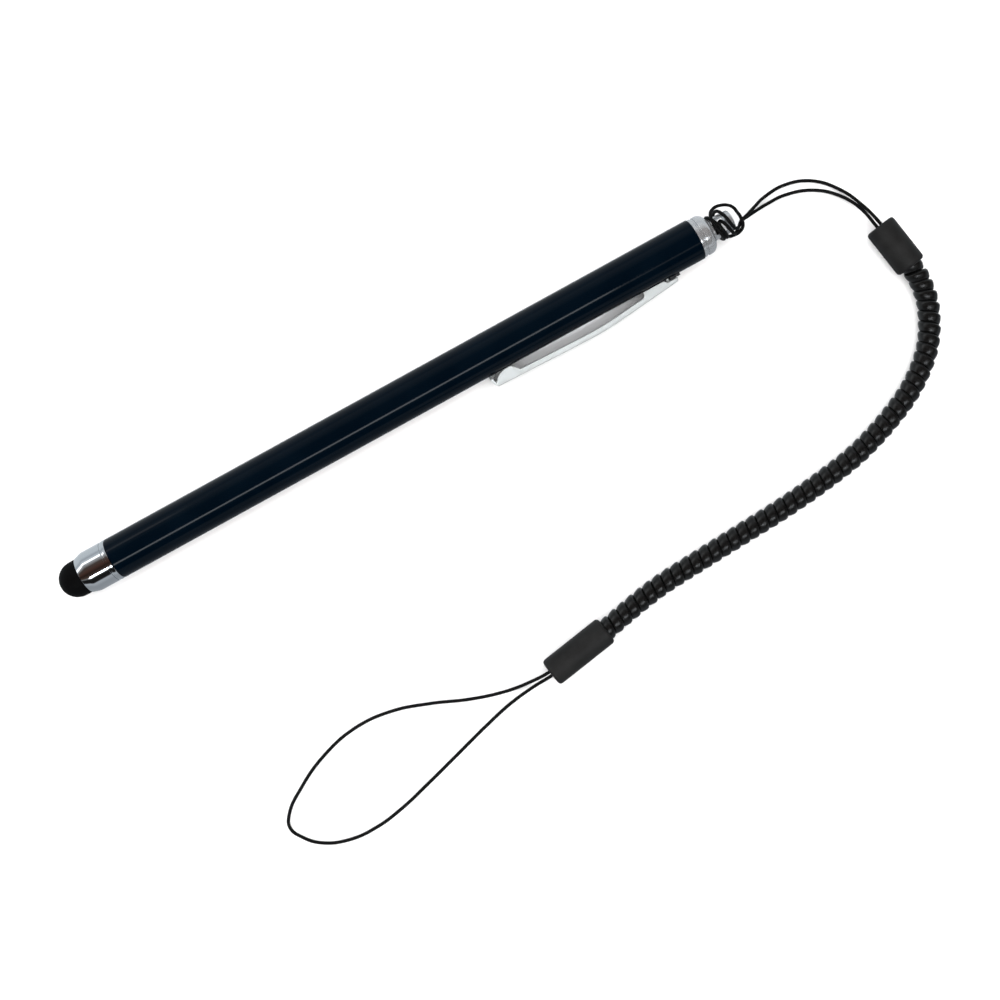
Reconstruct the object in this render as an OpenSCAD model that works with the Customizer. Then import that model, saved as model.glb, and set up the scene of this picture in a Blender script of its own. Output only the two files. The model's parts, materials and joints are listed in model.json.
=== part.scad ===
// Touch-screen stylus with a pocket clip, and a curly tether that ends in a loop.
// It lies on a table: +X runs along the pen from its rubber tip to its tether post, +Z is up.
// The origin is under the middle of the pen, on the table. All sizes are in millimetres.

/* [Barrel] */
// Outside diameter of the barrel tube
barrel_d = 8; // [6:0.1:12]
// Length of the barrel tube
barrel_l = 123.5; // [100:0.5:160]
// Wall of the barrel tube
barrel_wall = 0.5; // [0.4:0.05:0.8]
// Chamfer at both ends of the tube
barrel_chamfer = 0.1; // [0.05:0.05:0.2]

/* [Nose] */
// Length of the ferrule, from the barrel to its mouth
ferrule_l = 6.6; // [5:0.1:10]
// Outside diameter of the ferrule's mouth
mouth_d = 7.1; // [5.2:0.1:11]
// Length of the chamfer at the mouth
mouth_l = 1.5; // [0.5:0.1:2.5]
// Wall of the ferrule
ferrule_wall = 0.6; // [0.4:0.05:0.8]
// Distance of the fine groove from the barrel
groove_from_barrel = 0.85; // [0.6:0.05:2]
// Width of the fine groove
groove_w = 0.25; // [0.15:0.05:0.5]
// Depth of the fine groove
groove_depth = 0.12; // [0.05:0.01:0.25]
// Diameter of the rubber dome
dome_d = 6.9; // [5:0.1:10.5]
// How far the rubber dome stands out of the ferrule
dome_l = 4.75; // [3.6:0.05:8]
// Wall of the hollow dome
rubber_wall = 0.8; // [0.5:0.1:1.2]
// Diameter of the carrier's post inside the dome
carrier_post_d = 2.4; // [1.5:0.1:3]
// Diameter of the screw spigot
spigot_d = 4.8; // [3:0.1:5.4]
// Length of the screw spigot inside its bush
spigot_l = 5.6; // [4:0.1:10]
// Radial clearance of the spigot in its bush
thread_gap = 0.05; // [0.02:0.01:0.1]
// Thickness of the sealing washer
seal_t = 0.5; // [0.3:0.1:1]
// Length of the front bush
front_bush_l = 8; // [6:0.5:14]

/* [Rear end] */
// Step down from the barrel's radius to the trim ring and the cap
cap_step = 0.15; // [0.05:0.05:0.4]
// Visible length of the trim ring
ring_l = 0.7; // [0.5:0.1:1.5]
// Length of the groove between the ring and the cap
cap_groove_l = 0.3; // [0.2:0.05:0.6]
// Depth of that groove
cap_groove_depth = 0.25; // [0.1:0.05:0.4]
// Length of the cap's straight rim
cap_rim_l = 0.6; // [0.3:0.1:1.5]
// Length of the cap's round shoulder
shoulder_l = 1.6; // [1:0.1:2.5]
// Diameter of the cap's spigot in the rear bush
cap_spigot_d = 5; // [3.6:0.1:5.6]
// Length of the cap's spigot
cap_spigot_l = 4.5; // [3:0.1:6]
// Length of the rear bush
rear_bush_l = 14; // [12.5:0.5:20]
// Diameter of the tether post
post_d = 4.2; // [3.4:0.1:4.4]
// Length of the tether post beyond the cap
post_l = 4.5; // [4.2:0.1:8]
// Width of the eye through the post
eye_w = 2.8; // [2:0.1:3]
// Length of the eye
eye_l = 2.9; // [2.8:0.1:5]
// Distance of the eye from the cap
eye_from_cap = 0.45; // [0.3:0.05:1]
// Diameter of the post's shank in the cap
shank_d = 2.6; // [1.5:0.1:3]
// Thickness of the washer that the shank is riveted over
washer_t = 0.6; // [0.4:0.1:1]

/* [Clip] */
// Length of the clip
clip_l = 40; // [30:0.5:50]
// Width of the clip
clip_w = 3.8; // [3.4:0.1:5]
// Thickness of the clip's sheet
clip_t = 0.45; // [0.35:0.05:0.6]
// How far the clip's back stands off the barrel at its highest
clip_stand = 2.7; // [2:0.1:4]
// Distance from the clip's root to the barrel's rear end
clip_back = 6.3; // [6:0.1:12]
// Rise of the clip's back for each millimetre from its free end
clip_rise = 0.029; // [0:0.001:0.05]
// Fall of the clip's back for each millimetre towards its root
clip_fall = 0.108; // [0.05:0.001:0.11]
// Distance from the root to the bend in the clip's back
clip_bend = 16.7; // [12:0.1:25]
// Roundness of that bend
bend_soft = 1.5; // [0.5:0.1:3]
// Length of the root's side walls
root_wall_l = 7; // [4:0.1:12]
// Length of the ear at the free end
ear_l = 6.6; // [4:0.1:10]
// Height of the low rim along the cut-away side
rim_h = 0.65; // [0.3:0.05:0.8]
// Clearance between the clip and the barrel
clip_gap = 0.15; // [0.1:0.05:0.3]
// Width of the clip's leg in its slot
leg_w = 2; // [1.5:0.1:2.4]

/* [Tether] */
// Diameter of the thin cord
thin_d = 0.65; // [0.5:0.05:1]
// Outside diameter of the curly cord
coil_d = 4.1; // [3:0.1:5]
// Diameter of the upper sleeve
upper_sleeve_d = 5.8; // [5:0.1:7]
// Diameter of the lower sleeve
lower_sleeve_d = 5.5; // [5:0.1:7]
// Depth that the curly cord enters a sleeve
coil_entry = 2.5; // [1.5:0.1:3]
// Depth that the thin cord enters a sleeve
thin_entry = 2; // [1:0.1:2.5]
// Diameter of the crimps in the sleeves
crimp_d = 3.2; // [2.6:0.1:3.8]

/* [Hidden] */
$fn = 96;

// Stations along the pen, from the end of the dome.
mouth_x = dome_l;
front_x = mouth_x + ferrule_l;
rear_x = front_x + barrel_l;
ring_x = rear_x + ring_l;
cap_x = ring_x + cap_groove_l + cap_rim_l + shoulder_l;
pen_l = cap_x + post_l;
washer_x = rear_x - cap_spigot_l - washer_t;
rivet_x = washer_x - 0.3;
washer_play = 0.2;

barrel_r = barrel_d / 2;
bore_r = barrel_r - barrel_wall;
seam_gap = 0.05;
edge = 0.15; // Rounding of small turned edges
over = 1; // How far a cutter runs past what it cuts

// The clip's stations, and the plain profile of its back before it is set to its height.
clip_x = rear_x - clip_back - clip_l;
clip_root_x = clip_x + clip_l;
bend_x = clip_root_x - clip_bend;
function back_rise(x) = clip_rise * (x - bend_x)
    - (clip_rise + clip_fall) * bend_soft * ln(1 + exp((x - bend_x) / bend_soft));
clip_peak_x = bend_x + bend_soft * ln(clip_rise / clip_fall);
clip_out_r = barrel_r + clip_stand;
function back_r(x) = clip_out_r + back_rise(x) - back_rise(clip_peak_x);

// The pen has rolled until the clip's lower edge touches the table beside the barrel.
clip_roll = asin(barrel_r / norm([clip_out_r, clip_w / 2])) - atan2(clip_w / 2, clip_out_r);
clip_reach_y = clip_out_r * cos(clip_roll) + clip_w / 2 * sin(clip_roll);
axis_y = (clip_reach_y - barrel_r) / 2;

// The clip's leg goes through the barrel's slot, and its foot hooks under the wall.
// The play round them is what the clip needs to flex, and the wedge fills the slot behind them.
leg_from_root = 2;
leg_x = clip_root_x - leg_from_root;
foot_l = 1.6;
foot_r = bore_r - 0.5;
leg_play = 0.3;
foot_play = 0.4;
wedge_x = leg_x + clip_t + leg_play;
wedge_stem_l = 1;
slot_x = leg_x - leg_play - edge;
slot_end_x = wedge_x + wedge_stem_l;
slot_w = leg_w + 2 * leg_play;

// Routes of the cords. The hitch is given from a place on the cap's shoulder.
hitch_at = [65.5, 1.5, 4];
hitch = [[7.3, -1.1, 0], [6.3, -1.9, 0.7], [5.4, -2, 1.7], [4.9, -1.1, 2.4], [4.6, 0.3, 2.6],
         [4.3, 1.6, 2.1], [4, 2.5, 1], [3.6, 2.65, -0.4], [3.3, 1.9, -1.9], [3, 0.6, -2.6],
         [3.32, -1.34, -2.12], [3.57, -2.46, -0.56], [3.39, -2.14, 1.32], [2.84, -0.58, 2.44],
         [2.19, 1.3, 2.12], [1.77, 2.42, 0.56], [1.78, 2.1, -1.32], [2.17, 0.54, -2.44],
         [2.65, -1.34, -2.12], [2.9, -2.46, -0.56], [2.72, -2.14, 1.32], [2.17, -0.58, 2.44],
         [1.95, 1.1, 2.65], [2.4, 2.5, 2], [3.2, 3.15, 1.1], [4.2, 3.4, 0.6], [5.2, 3.25, 0.35],
         [6.2, 2.8, 0.3], [7, 2, 0.35], [7.3, 0.6, 0.6], [7.3, -0.9, 0.95], [7.1, -2.1, 0.4],
         [6.2, -2.75, -0.3], [4.9, -2.7, -0.9], [4.3, -2.2, -2.2], [4.1, -0.8, -2.75],
         [3.9, 0.4, -1.8], [3.8, 0.4, 1.2], [4, -0.8, 2.3], [4.4, -2, 1.8], [5.1, -2.6, 0.5],
         [6.3, -2, -0.1], [7.3, -1.2, -0.8]];
upper_strand = [[96.1, -14.7, 2.9], [95.7, -12.5, 2.9], [94.7, -8, 2.1], [92.7, -3, 0.7],
                [89, 0.9, 0.4], [84.1, 2.7, 0.4], [79.6, 2.5, 0.8], [76, 1.4, 2.6],
                [74.2, 0.8, 3.5]];
lower_strand = [[74.9, 0.7, 2.2], [76.5, 0.9, 1.5], [79.5, 1.1, 0.8], [83.2, 1, 0.4],
                [88.6, -0.9, 0.4], [92.3, -4.3, 0.8], [94.2, -8.2, 1.7], [94.85, -12.7, 2.8],
                [95.2, -14.8, 2.9]];
top_route = concat(upper_strand, [for (p = hitch) p + hitch_at], lower_strand);
coil_route = [[96.5, -19.9, 2.9], [96.9, -22.4, 2.9], [97.2, -26, 2.3], [96.2, -30.8, 2.05],
              [92.6, -37, 2.05], [86.9, -41.9, 2.05], [80.2, -45.3, 2.05], [71.6, -48.2, 2.05],
              [62.8, -49.7, 2.05], [53.8, -50.6, 2.05], [44.8, -51.1, 2.05],
              [35.8, -51.6, 2.05], [26.8, -52.2, 2.05], [19.5, -53.4, 2.15],
              [14, -54.5, 2.75], [11.5, -54.9, 2.75]];
device_route = [[2.9, -55.9, 2.75], [0.9, -56.3, 2.75], [-3, -56.4, 1.5], [-7.9, -55.9, 0.4],
                [-14.8, -53.9, 0.35], [-21.8, -51, 0.35], [-29.1, -48.7, 0.35],
                [-36.6, -48.2, 0.35], [-44.1, -49.9, 0.35], [-50.9, -53.2, 0.35],
                [-55.4, -56.6, 0.35], [-56.4, -58.8, 0.35], [-55.2, -61.5, 0.35],
                [-52.5, -64.2, 0.35], [-47.6, -66.2, 0.35], [-41.9, -66.6, 0.35],
                [-36.2, -65.8, 0.35], [-28.9, -63.9, 0.35], [-21.6, -61.8, 0.35],
                [-14.3, -59.7, 0.35], [-8.8, -58.3, 0.8], [-3.1, -57.4, 2.1],
                [1.1, -57.1, 2.75], [3.1, -56.8, 2.75]];
// Each sleeve runs from its thin cord's end to its curly cord's end.
upper_sleeve_from = [95.3, -12.8, 2.9];
upper_sleeve_to = [96.9, -22.4, 2.9];
lower_sleeve_from = [1, -56.7, 2.75];
lower_sleeve_to = [14, -54.5, 2.75];

// Places a piece on the pen's axis, as it lies on the table.
module on_pen() translate([-pen_l / 2, axis_y, barrel_r]) children();

// Turns a profile of [radius, x] points about the pen's axis.
module turned(profile) rotate([0, 90, 0]) rotate_extrude() polygon(profile);

// Straight round rod along the pen's axis.
module rod(x, length, r) translate([x, 0, 0]) rotate([0, 90, 0]) cylinder(h = length, r = r);

// Points of an arc, from one angle to another.
function arc(centre, r, from, to, steps = 8) =
    [for (i = [0:steps]) let (a = from + (to - from) * i / steps) centre + r * [cos(a), sin(a)]];

// Extrudes a clip profile of [x, radius] points across the clip, in the clip's own roll.
module across(profile, width, middle = 0)
    rotate([clip_roll, 0, 0]) translate([0, 0, middle - width / 2]) linear_extrude(width)
        polygon([for (p = profile) [p[0], -p[1]]]);

// A block in the clip's own roll, from x to x_end and from one radius to another.
module clip_block(x, x_end, r, r_end, width)
    rotate([clip_roll, 0, 0]) translate([x, -r_end, -width / 2])
        cube([x_end - x, r_end - r, width]);

// Tube along a route: each ring's side vector is carried over from the ring before it.
function unit(v) = v / norm(v);
function heading(p, i) = unit(p[min(i + 1, len(p) - 1)] - p[max(i - 1, 0)]);
function squared(v, t) = unit(v - (v * t) * t);
function sides_of(p) =
    [for (i = 0, v = squared([0.1, 0.2, 1], heading(p, 0)); i < len(p);
          i = i + 1, v = i < len(p) ? squared(v, heading(p, i)) : v) v];
module tube(route, d, sides) {
    side = sides_of(route);
    rings = len(route);
    points = [for (i = [0:rings - 1]) let (t = heading(route, i), b = cross(t, side[i]))
        for (k = [0:sides - 1])
            route[i] + d / 2 * (cos(360 * k / sides) * side[i] + sin(360 * k / sides) * b)];
    function at(i, k) = i * sides + k % sides;
    walls = [for (i = [0:rings - 2]) for (k = [0:sides - 1])
        each [[at(i, k), at(i + 1, k), at(i + 1, k + 1)],
              [at(i, k), at(i + 1, k + 1), at(i, k + 1)]]];
    ends = [[for (k = [0:sides - 1]) at(0, k)],
            [for (k = [sides - 1:-1:0]) at(rings - 1, k)]];
    polyhedron(points, concat(walls, ends));
}

// Turns what stands on +Z so that it runs from one point to another.
module aimed(from, to) {
    run = to - from;
    translate(from) rotate([0, acos(run[2] / norm(run)), atan2(run[1], run[0])]) children();
}

// Hollow dome: round end, straight skirt, and a smaller skirt gripped in the ferrule.
dome_r = dome_d / 2;
skirt_r = mouth_d / 2 - ferrule_wall;
skirt_end_x = mouth_x + 2.5;
module rubber_tip() color([0.03, 0.03, 0.03]) on_pen() turned(concat(
    [for (p = arc([dome_r, 0], dome_r, 180, 90, 16)) [p[1], p[0]]],
    [[dome_r, mouth_x - seam_gap], [skirt_r, mouth_x - seam_gap],
     [skirt_r, skirt_end_x], [skirt_r - rubber_wall, skirt_end_x]],
    [for (p = arc([dome_r, 0], dome_r - rubber_wall - (dome_r - skirt_r), 90, 180, 12))
        [p[1], p[0]]]));

// Chrome nose ring: chamfered mouth, straight sides, fine groove, bore for the carrier.
carrier_r = barrel_r - 1.5 * ferrule_wall;
module tip_ferrule() color([0.78, 0.8, 0.82]) on_pen() turned([
    [skirt_r, mouth_x], [mouth_d / 2 - edge, mouth_x], [mouth_d / 2, mouth_x + edge],
    [barrel_r, mouth_x + mouth_l],
    [barrel_r, front_x - groove_from_barrel - groove_w],
    [barrel_r - groove_depth, front_x - groove_from_barrel - groove_w],
    [barrel_r - groove_depth, front_x - groove_from_barrel],
    [barrel_r, front_x - groove_from_barrel],
    [barrel_r, front_x - seam_gap - barrel_chamfer],
    [barrel_r - barrel_chamfer, front_x - seam_gap],
    [carrier_r, front_x - seam_gap], [carrier_r, skirt_end_x], [skirt_r, skirt_end_x]]);

// Turned core: post inside the dome, flange in the ferrule, screw spigot behind.
post_end_x = dome_r + 0.6;
plug_l = 0.6;
lead_in = 0.3;
spigot_end_x = front_x + seal_t + spigot_l;
module tip_carrier() color([0.72, 0.58, 0.3]) on_pen() turned([
    [0, post_end_x], [carrier_post_d / 2, post_end_x],
    [carrier_post_d / 2, skirt_end_x - plug_l],
    [skirt_r - rubber_wall, skirt_end_x - plug_l], [skirt_r - rubber_wall, skirt_end_x],
    [carrier_r, skirt_end_x], [carrier_r, front_x - seam_gap],
    [spigot_d / 2, front_x - seam_gap], [spigot_d / 2, spigot_end_x - lead_in],
    [spigot_d / 2 - lead_in, spigot_end_x], [0, spigot_end_x]]);

// Thin washer on the spigot, between the nose and the bush.
seal_r = bore_r - 2 * thread_gap;
module tip_seal() color([0.1, 0.1, 0.1]) on_pen() difference() {
    rod(front_x, seal_t - seam_gap, seal_r);
    rod(front_x - over, seal_t + 2 * over, spigot_d / 2 + thread_gap);
}

// Bush pressed in the front of the barrel; its bore takes the screw spigot.
module front_bush() color([0.66, 0.67, 0.68]) on_pen() difference() {
    rod(front_x + seal_t, front_bush_l, bore_r);
    rod(front_x, seal_t + front_bush_l + over, spigot_d / 2 + thread_gap);
}

// Lacquered tube with a slot for the clip's leg.
module barrel() color([0.02, 0.05, 0.08]) on_pen() difference() {
    turned([[bore_r, front_x], [barrel_r - barrel_chamfer, front_x],
            [barrel_r, front_x + barrel_chamfer], [barrel_r, rear_x - barrel_chamfer],
            [barrel_r - barrel_chamfer, rear_x], [bore_r, rear_x]]);
    clip_block(slot_x, slot_end_x, bore_r - over, barrel_r + over, slot_w);
}

// Pressed clip: back, a whole side wall, one that is cut low, ears, curled end and leg.
ear_from_x = clip_x + 0.9;
root_from_x = clip_root_x - root_wall_l;
inside_r = barrel_r - over;
fillet_r = 0.8;
root_round = 0.4;
ear_round = 2.2; // Power of the ear's superellipse
ear_r = barrel_r - 0.35; // How near the ear comes to the barrel's axis
steps = 24;
function stations(from, to) = [for (i = [0:steps]) from + (to - from) * i / steps];
function strip(from, to, depth) = concat(
    [for (x = stations(from, to)) [x, back_r(x)]],
    [for (x = stations(to, from)) [x, back_r(x) - depth]]);
function ear_depth(x) = let (u = 2 * (x - ear_from_x) / ear_l - 1) (back_r(x) - ear_r)
    * (u < 0 ? pow(max(0, 1 - pow(-u, ear_round)), 1 / ear_round) : (1 + cos(180 * u)) / 2);
function wall_top(x) = back_r(x) - clip_t / 2; // Side walls start inside the back
ear_profile = concat(
    [for (x = stations(ear_from_x, ear_from_x + ear_l)) [x, wall_top(x)]],
    [for (x = stations(ear_from_x + ear_l, ear_from_x)) [x, back_r(x) - max(clip_t, ear_depth(x))]]);
rim_profile = concat(
    [for (x = stations(ear_from_x, root_from_x)) [x, wall_top(x)]],
    [for (x = stations(root_from_x, ear_from_x)) [x, back_r(x) - clip_t - rim_h]]);
rim_r = back_r(root_from_x) - clip_t - rim_h;
raised_r = barrel_r + 0.3;
// One side wall is cut low between the ear and the root; the other is whole.
whole_profile = let (from = ear_from_x + ear_l / 2) concat(
    [for (x = stations(from, root_from_x)) [x, wall_top(x)]],
    [[root_from_x, inside_r], [from, inside_r]]);
root_profile = concat(
    [for (x = stations(root_from_x - fillet_r, clip_root_x - root_round)) [x, wall_top(x)]],
    [[clip_root_x, back_r(clip_root_x) - root_round], [clip_root_x, raised_r],
     [leg_x + leg_play, raised_r], [leg_x, inside_r], [root_from_x, inside_r]],
    [for (p = arc([root_from_x - fillet_r, rim_r - fillet_r], fillet_r, 0, 90)) p]);
lip_profile = [[clip_x + 0.45, back_r(clip_x) - 0.5], [clip_x + 1, back_r(clip_x)],
               [clip_x + 1.6, back_r(clip_x)], [clip_x + 1.3, back_r(clip_x) - 0.55],
               [clip_x + 0.55, inside_r], [clip_x, inside_r]];
module clip() color([0.8, 0.82, 0.84]) on_pen() {
    difference() {
        union() {
            across(strip(ear_from_x, clip_root_x - root_round, clip_t), clip_w);
            across(lip_profile, clip_w);
            for (side = [-1, 1]) {
                middle = side * (clip_w - clip_t) / 2;
                across(rim_profile, clip_t, middle);
                across(ear_profile, clip_t, middle);
                across(root_profile, clip_t, middle);
            }
            across(whole_profile, clip_t, (clip_t - clip_w) / 2);
        }
        rod(0, pen_l, barrel_r + clip_gap);
    }
    clip_block(leg_x, leg_x + clip_t, foot_r, back_r(leg_x) - clip_t / 2, leg_w);
    clip_block(leg_x - foot_l, leg_x + clip_t, foot_r - clip_t, foot_r, leg_w);
}

// Black wedge behind the leg: a pad on the barrel and a stem in the slot.
wedge_w = clip_w - 2 * clip_t - leg_play;
wedge_end_x = clip_root_x + 0.8;
wedge = barrel_r + 0.25;
wedge_depth = 0.6;
module clip_wedge() color([0.02, 0.02, 0.02]) on_pen() {
    difference() {
        clip_block(wedge_x, wedge_end_x, barrel_r - wedge_depth, wedge, wedge_w);
        rod(0, pen_l, barrel_r);
    }
    clip_block(wedge_x, slot_end_x, bore_r - wedge_depth, barrel_r, slot_w);
}

// Plastic plug in the rear of the barrel, with a pocket for the leg and a bore for the cap.
module top_bush() color([0.25, 0.25, 0.27]) on_pen() difference() {
    rod(rear_x - rear_bush_l, rear_bush_l, bore_r);
    rod(rivet_x - washer_play, rear_x - rivet_x + over, cap_spigot_d / 2);
    rod(rear_x - rear_bush_l - over, rear_bush_l + 2 * over, shank_d / 2);
    clip_block(leg_x - foot_l - foot_play, slot_end_x, foot_r - clip_t - foot_play, barrel_r,
               slot_w);
}

// Trim ring between the barrel and the cap.
cap_r = barrel_r - cap_step;
module cap_ring() color([0.76, 0.79, 0.8]) on_pen() turned([
    [cap_spigot_d / 2, rear_x], [cap_r - edge, rear_x], [cap_r, rear_x + edge],
    [cap_r, ring_x - edge], [cap_r - edge, ring_x], [cap_spigot_d / 2, ring_x]]);

// Stepped cap with a round shoulder, a spigot and a hole for the post's shank.
rim_end_x = cap_x - shoulder_l;
module end_cap() color([0.76, 0.79, 0.8]) on_pen() turned(concat(
    [[shank_d / 2, rear_x - cap_spigot_l], [cap_spigot_d / 2, rear_x - cap_spigot_l],
     [cap_spigot_d / 2, ring_x], [cap_r - cap_groove_depth, ring_x],
     [cap_r - cap_groove_depth, ring_x + cap_groove_l], [cap_r - edge, ring_x + cap_groove_l],
     [cap_r, ring_x + cap_groove_l + edge]],
    [for (a = [0:10:90]) [post_d / 2 + (cap_r - post_d / 2) * cos(a), rim_end_x + shoulder_l * sin(a)]],
    [[shank_d / 2, cap_x]]));

// Post with a long eye through it and a round end; its shank is riveted inside the cap.
post_r = post_d / 2;
post_edge = 0.45;
eye_x = cap_x + eye_from_cap;
module tether_post() color([0.7, 0.72, 0.74]) on_pen() difference() {
    turned(concat(
        [[0, rivet_x], [shank_d / 2, rivet_x], [shank_d / 2, cap_x], [post_r, cap_x]],
        arc([post_r - post_edge, pen_l - post_edge], post_edge, 0, 90),
        [[0, pen_l]]));
    translate([eye_x, -eye_w / 2, -post_d]) cube([eye_l, eye_w, 2 * post_d]);
}

// Washer under the shank's riveted end.
module post_washer() color([0.6, 0.6, 0.6]) on_pen() difference() {
    rod(washer_x, washer_t, cap_spigot_d / 2 - washer_play);
    rod(washer_x - over, washer_t + 2 * over, shank_d / 2);
}

// Sleeve with rounded ends: slot for the thin cord, crimp's seat, and socket of the curly cord.
sleeve_round = 0.6;
module sleeve(from, to, d) {
    length = norm(to - from);
    thin_r = thin_d + 0.45; // The thin cord's two ends lie side by side in it
    aimed(from, to) rotate_extrude() polygon(concat(
        [[thin_r, 0]], arc([d / 2 - sleeve_round, sleeve_round], sleeve_round, -90, 0),
        arc([d / 2 - sleeve_round, length - sleeve_round], sleeve_round, 0, 90),
        [[coil_d / 2, length], [coil_d / 2, length - coil_entry],
         [crimp_d / 2, length - coil_entry], [crimp_d / 2, thin_entry], [thin_r, thin_entry]]));
}

// Crimp that joins the thin cord's ends to the curly cord.
module crimp(from, to) aimed(from, to) translate([0, 0, thin_entry])
    cylinder(h = norm(to - from) - thin_entry - coil_entry, d = crimp_d);

module top_loop() color([0.03, 0.03, 0.03]) tube(top_route, thin_d, 8);
module upper_crimp() color([0.7, 0.7, 0.7]) crimp(upper_sleeve_from, upper_sleeve_to);
module upper_sleeve() color([0.13, 0.13, 0.13])
    sleeve(upper_sleeve_from, upper_sleeve_to, upper_sleeve_d);
module coil_cord() color([0.06, 0.06, 0.06]) tube(coil_route, coil_d, 12);
module lower_crimp() color([0.7, 0.7, 0.7]) crimp(lower_sleeve_from, lower_sleeve_to);
module lower_sleeve() color([0.13, 0.13, 0.13])
    sleeve(lower_sleeve_from, lower_sleeve_to, lower_sleeve_d);
module device_loop() color([0.03, 0.03, 0.03]) tube(device_route, thin_d, 8);

rubber_tip();
tip_ferrule();
tip_carrier();
tip_seal();
front_bush();
barrel();
clip();
clip_wedge();
top_bush();
cap_ring();
end_cap();
tether_post();
post_washer();
top_loop();
upper_crimp();
upper_sleeve();
coil_cord();
lower_crimp();
lower_sleeve();
device_loop();
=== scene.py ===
import json
import math

import bmesh
import bpy
from mathutils import Matrix, Vector


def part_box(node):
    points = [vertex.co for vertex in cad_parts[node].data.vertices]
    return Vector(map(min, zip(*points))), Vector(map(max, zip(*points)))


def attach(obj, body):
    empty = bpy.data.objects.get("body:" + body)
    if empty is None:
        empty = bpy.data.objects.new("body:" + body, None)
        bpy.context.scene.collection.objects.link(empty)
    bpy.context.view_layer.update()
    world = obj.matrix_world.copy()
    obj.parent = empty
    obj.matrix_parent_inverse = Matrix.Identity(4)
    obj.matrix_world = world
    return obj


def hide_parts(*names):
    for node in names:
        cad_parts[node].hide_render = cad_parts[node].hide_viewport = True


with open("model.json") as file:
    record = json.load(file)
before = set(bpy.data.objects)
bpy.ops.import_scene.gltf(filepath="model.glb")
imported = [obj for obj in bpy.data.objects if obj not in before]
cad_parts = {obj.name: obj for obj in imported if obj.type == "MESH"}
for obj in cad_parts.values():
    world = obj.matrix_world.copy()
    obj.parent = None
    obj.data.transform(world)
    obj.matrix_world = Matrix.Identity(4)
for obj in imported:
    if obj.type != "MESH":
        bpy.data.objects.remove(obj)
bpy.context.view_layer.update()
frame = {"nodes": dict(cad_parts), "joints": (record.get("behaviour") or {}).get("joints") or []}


# --- Camera, table and light ---------------------------------------------------------------------
# The camera looks straight down on the table, turned so that the pen points up to the right.
# The table is a plain pale sheet under a soft box, with a backdrop that only the camera sees. The
# metal and the lacquer mirror a window, a lamp tube, a near strip and walls of light and dark.
camera = bpy.data.objects.new("camera", bpy.data.cameras.new("camera"))
camera.data.lens = 51.7
camera.data.clip_start = 0.01
camera.location = (0.00827, -0.0236, 0.272)
camera.rotation_euler = (0, 0, math.radians(-28.8))
bpy.context.scene.collection.objects.link(camera)
bpy.context.scene.camera = camera
bpy.context.scene.view_settings.view_transform = "Standard"

table_sheet = bpy.data.meshes.new("table_sheet")
bm = bmesh.new()
bmesh.ops.create_grid(bm, x_segments=2, y_segments=2, size=3)
bm.to_mesh(table_sheet)
bm.free()
table = bpy.data.objects.new("table", table_sheet)
bpy.context.scene.collection.objects.link(table)
table.visible_glossy = False
table_white = bpy.data.materials.new("table_white")
table_white.use_nodes = True
table_shader = table_white.node_tree.nodes["Principled BSDF"]
table_shader.inputs["Base Color"].default_value = (0.9, 0.9, 0.9, 1)
table_shader.inputs["Roughness"].default_value = 0.8
table_shader.inputs["Specular IOR Level"].default_value = 0.1
table_sheet.materials.append(table_white)

backdrop_sheet = bpy.data.meshes.new("backdrop")
bm = bmesh.new()
bmesh.ops.create_uvsphere(bm, u_segments=64, v_segments=32, radius=2.9)
bm.to_mesh(backdrop_sheet)
bm.free()
backdrop = bpy.data.objects.new("backdrop", backdrop_sheet)
bpy.context.scene.collection.objects.link(backdrop)
backdrop.visible_diffuse = False
backdrop.visible_glossy = False
backdrop.visible_shadow = False
backdrop_white = bpy.data.materials.new("backdrop_white")
backdrop_white.use_nodes = True
backdrop_shader = backdrop_white.node_tree.nodes["Principled BSDF"]
backdrop_shader.inputs["Base Color"].default_value = (0, 0, 0, 1)
backdrop_shader.inputs["Specular IOR Level"].default_value = 0
backdrop_shader.inputs["Emission Color"].default_value = (0.9, 0.9, 0.9, 1)
backdrop_shader.inputs["Emission Strength"].default_value = 1
backdrop_sheet.materials.append(backdrop_white)


def area_light(name, place, aim, width, depth, radiance, colour=(1, 1, 1), glossy=True,
               diffuse=True):
    """Rectangular light at place that faces aim, with its width along X."""
    data = bpy.data.lights.new(name, "AREA")
    data.shape = "RECTANGLE"
    data.size = width
    data.size_y = depth
    data.energy = radiance * math.pi * width * depth
    data.color = colour
    light = bpy.data.objects.new(name, data)
    light.visible_camera = False
    light.visible_glossy = glossy
    light.visible_diffuse = diffuse
    away = (Vector(place) - Vector(aim)).normalized()
    up = away.cross(Vector((1, 0, 0))).normalized()
    turn = Matrix((up.cross(away), up, away)).transposed().to_4x4()
    light.matrix_world = Matrix.Translation(place) @ turn
    bpy.context.scene.collection.objects.link(light)


area_light("window", (-0.78, 0.75, 0.6), (0, 0, 0), 1.2, 0.24, 1.9)
area_light("lamp_tube", (-0.05, -0.265, 0.425), (-0.02, 0, 0), 0.33, 0.06, 13, (0.9, 0.95, 1),
           diffuse=False)
area_light("near_strip", (0, -0.52, 0.74), (0, 0, 0), 1.4, 0.1, 1.5, (0.97, 0.99, 1))
area_light("soft_box", (0, 0, 1.2), (0, 0, 0), 2.4, 2.4, 2.9, glossy=False)

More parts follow.
